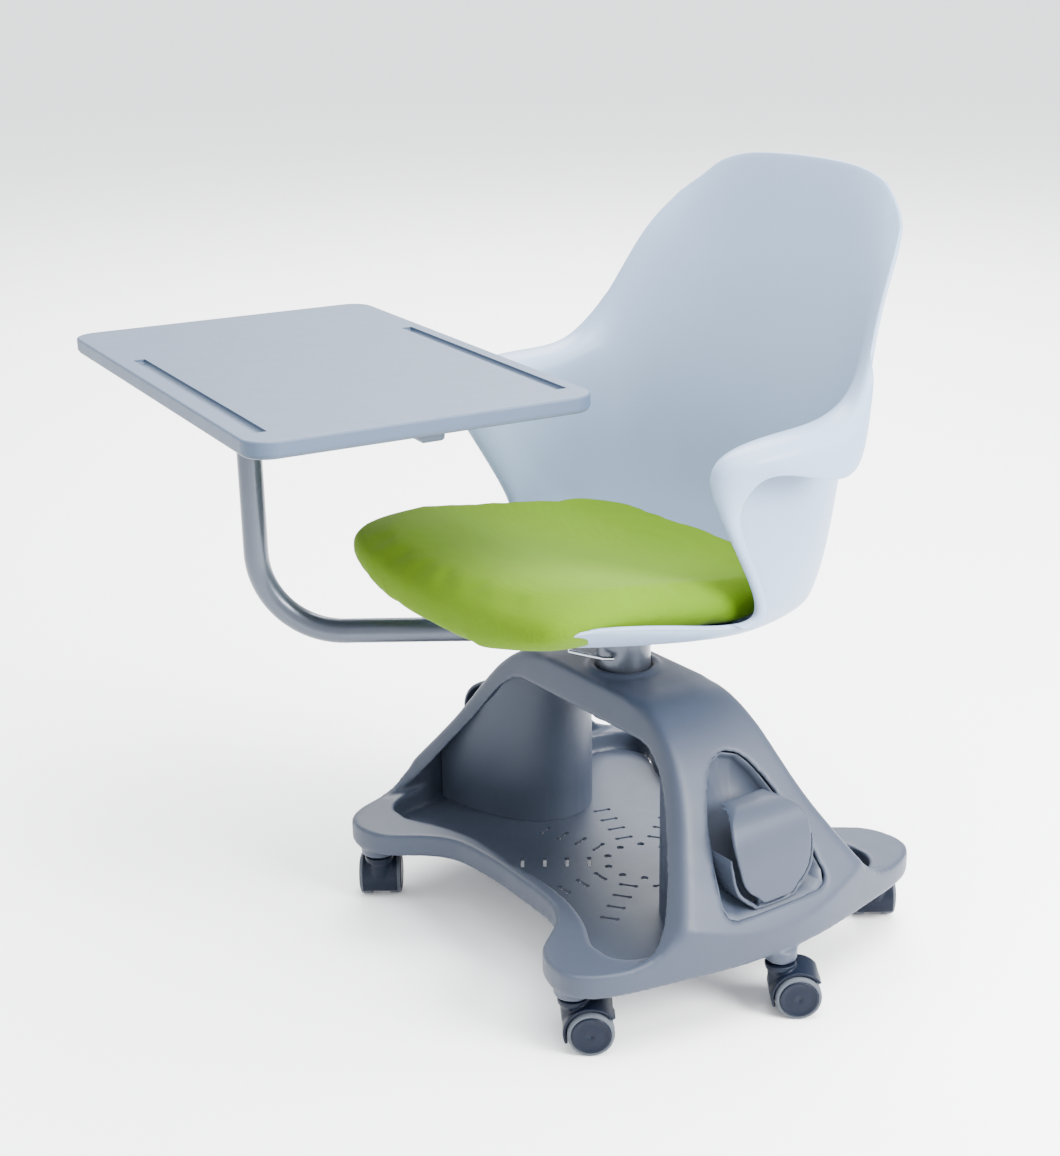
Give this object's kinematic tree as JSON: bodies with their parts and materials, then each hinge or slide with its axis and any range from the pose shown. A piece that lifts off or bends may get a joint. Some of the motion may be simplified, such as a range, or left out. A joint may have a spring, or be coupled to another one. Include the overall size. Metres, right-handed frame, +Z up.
{
  "type": "student desk chair",
  "caption": "Shell chair with padded seat, writing tablet on a swinging tube arm, and an arched storage base on casters.",
  "frame": {"origin": "the column axis at floor level", "axes": "+Z up along the column, the sitter faces -Y, +X is the sitter's left"},
  "size_m": [0.8625, 0.7379, 0.8651],
  "materials": {
    "base_plastic": "satin moulded polypropylene, slate blue-grey",
    "shell_plastic": "satin moulded polypropylene, pale blue-grey",
    "cushion_fabric": "fine woven upholstery fabric, lime green",
    "board": "plain moulded board",
    "tablet_plastic": "fine textured moulded ABS, blue-grey",
    "tablet_under": "satin moulded ABS, blue-grey",
    "arm_paint": "satin grey powder coat on steel tube",
    "steel_black": "black e-coated steel",
    "bright_steel": "zinc-plated steel",
    "bush_plastic": "black acetal",
    "caster_plastic": "glass-filled nylon, near-black navy",
    "tyre_rubber": "soft grey polyurethane tyre"
  },
  "bodies": {
    "base": {"base_moulding": "base_plastic", "tray_panel": "base_plastic", "leg_lining_left": "base_plastic", "leg_lining_right": "base_plastic", "cup_pocket_left": "base_plastic", "cup_pocket_right": "base_plastic", "flap_pins": "bright_steel", "pillar": "steel_black", "caster_stems": "bright_steel"},
    "seat": {"seat_spindle": "steel_black", "lower_bush": "bush_plastic", "upper_bush": "bush_plastic", "thrust_washer": "steel_black", "retaining_ring": "steel_black", "seat_plate": "steel_black", "seat_screws": "bright_steel", "seat_shell": "shell_plastic", "seat_board": "board", "seat_cushion": "cushion_fabric"},
    "arm": {"arm_sleeve": "arm_paint", "arm_tube": "arm_paint", "post_bush": "bush_plastic", "post_cap": "bush_plastic"},
    "tablet": {"tablet_top": "tablet_plastic", "tablet_pan": "tablet_under", "tablet_grip": "tablet_under", "tablet_bracket": "steel_black", "tablet_screws": "bright_steel"},
    "bail": {"arm_release_bail": "bright_steel"},
    "flap_left": {"cup_flap_left": "base_plastic"},
    "flap_right": {"cup_flap_right": "base_plastic"},
    "caster_front_right": {"caster_front_right_hood": "caster_plastic", "caster_front_right_axle": "bright_steel"},
    "wheels_front_right": {"caster_front_right_hubs": "caster_plastic", "caster_front_right_tyres": "tyre_rubber"},
    "caster_front_left": {"caster_front_left_hood": "caster_plastic", "caster_front_left_axle": "bright_steel"},
    "wheels_front_left": {"caster_front_left_hubs": "caster_plastic", "caster_front_left_tyres": "tyre_rubber"},
    "caster_rear_left": {"caster_rear_left_hood": "caster_plastic", "caster_rear_left_axle": "bright_steel"},
    "wheels_rear_left": {"caster_rear_left_hubs": "caster_plastic", "caster_rear_left_tyres": "tyre_rubber"},
    "caster_rear_right": {"caster_rear_right_hood": "caster_plastic", "caster_rear_right_axle": "bright_steel"},
    "wheels_rear_right": {"caster_rear_right_hubs": "caster_plastic", "caster_rear_right_tyres": "tyre_rubber"},
    "caster_side_left": {"caster_side_left_hood": "caster_plastic", "caster_side_left_axle": "bright_steel"},
    "wheels_side_left": {"caster_side_left_hubs": "caster_plastic", "caster_side_left_tyres": "tyre_rubber"},
    "caster_side_right": {"caster_side_right_hood": "caster_plastic", "caster_side_right_axle": "bright_steel"},
    "wheels_side_right": {"caster_side_right_hubs": "caster_plastic", "caster_side_right_tyres": "tyre_rubber"}
  },
  "joints": [
    {"name": "seat_swivel", "type": "hinge", "parent": "base", "child": "seat", "pos_m": [0, 0, 0.383], "axis": [0, 0, 1], "continuous": true},
    {"name": "arm_swing", "type": "hinge", "parent": "seat", "child": "arm", "pos_m": [0, 0, 0.352], "axis": [0, 0, 1], "range_deg": [-25, 70]},
    {"name": "tablet_turn", "type": "hinge", "parent": "arm", "child": "tablet", "pos_m": [-0.23634, -0.33503, 0.627], "axis": [0, 0, 1], "range_deg": [-10, 30]},
    {"name": "arm_release", "type": "hinge", "parent": "arm", "child": "bail", "pos_m": [-0.00807, -0.01144, 0.334], "axis": [0.8171, -0.5764, 0], "range_deg": [-5, 0], "stiffness_Nm_per_rad": 0.3},
    {"name": "cup_flap_left_fold", "type": "hinge", "parent": "base", "child": "flap_left", "pos_m": [0.264, 0, 0.136], "axis": [0, 1, 0], "range_deg": [0, 40]},
    {"name": "cup_flap_right_fold", "type": "hinge", "parent": "base", "child": "flap_right", "pos_m": [-0.264, 0, 0.136], "axis": [0, -1, 0], "range_deg": [0, 40]},
    {"name": "caster_front_right_swivel", "type": "hinge", "parent": "base", "child": "caster_front_right", "pos_m": [-0.197, -0.219, 0.05], "axis": [0, 0, 1], "continuous": true},
    {"name": "caster_front_right_roll", "type": "hinge", "parent": "caster_front_right", "child": "wheels_front_right", "pos_m": [-0.21171, -0.20862, 0.025], "axis": [-0.5764, -0.8171, 0], "continuous": true},
    {"name": "caster_front_left_swivel", "type": "hinge", "parent": "base", "child": "caster_front_left", "pos_m": [0.197, -0.219, 0.05], "axis": [0, 0, 1], "continuous": true},
    {"name": "caster_front_left_roll", "type": "hinge", "parent": "caster_front_left", "child": "wheels_front_left", "pos_m": [0.20738, -0.20429, 0.025], "axis": [-0.8171, 0.5764, 0], "continuous": true},
    {"name": "caster_rear_left_swivel", "type": "hinge", "parent": "base", "child": "caster_rear_left", "pos_m": [0.197, 0.219, 0.05], "axis": [0, 0, 1], "continuous": true},
    {"name": "caster_rear_left_roll", "type": "hinge", "parent": "caster_rear_left", "child": "wheels_rear_left", "pos_m": [0.18229, 0.22938, 0.025], "axis": [-0.5764, -0.8171, 0], "continuous": true},
    {"name": "caster_rear_right_swivel", "type": "hinge", "parent": "base", "child": "caster_rear_right", "pos_m": [-0.197, 0.219, 0.05], "axis": [0, 0, 1], "continuous": true},
    {"name": "caster_rear_right_roll", "type": "hinge", "parent": "caster_rear_right", "child": "wheels_rear_right", "pos_m": [-0.20013, 0.23673, 0.025], "axis": [-0.9848, -0.1736, 0], "continuous": true},
    {"name": "caster_side_left_swivel", "type": "hinge", "parent": "base", "child": "caster_side_left", "pos_m": [0.274, 0, 0.05], "axis": [0, 0, 1], "continuous": true},
    {"name": "caster_side_left_roll", "type": "hinge", "parent": "caster_side_left", "child": "wheels_side_left", "pos_m": [0.28438, 0.01471, 0.025], "axis": [-0.8171, 0.5764, 0], "continuous": true},
    {"name": "caster_side_right_swivel", "type": "hinge", "parent": "base", "child": "caster_side_right", "pos_m": [-0.274, 0, 0.05], "axis": [0, 0, 1], "continuous": true},
    {"name": "caster_side_right_roll", "type": "hinge", "parent": "caster_side_right", "child": "wheels_side_right", "pos_m": [-0.283, 0.01559, 0.025], "axis": [-0.866, -0.5, 0], "continuous": true}
  ]
}
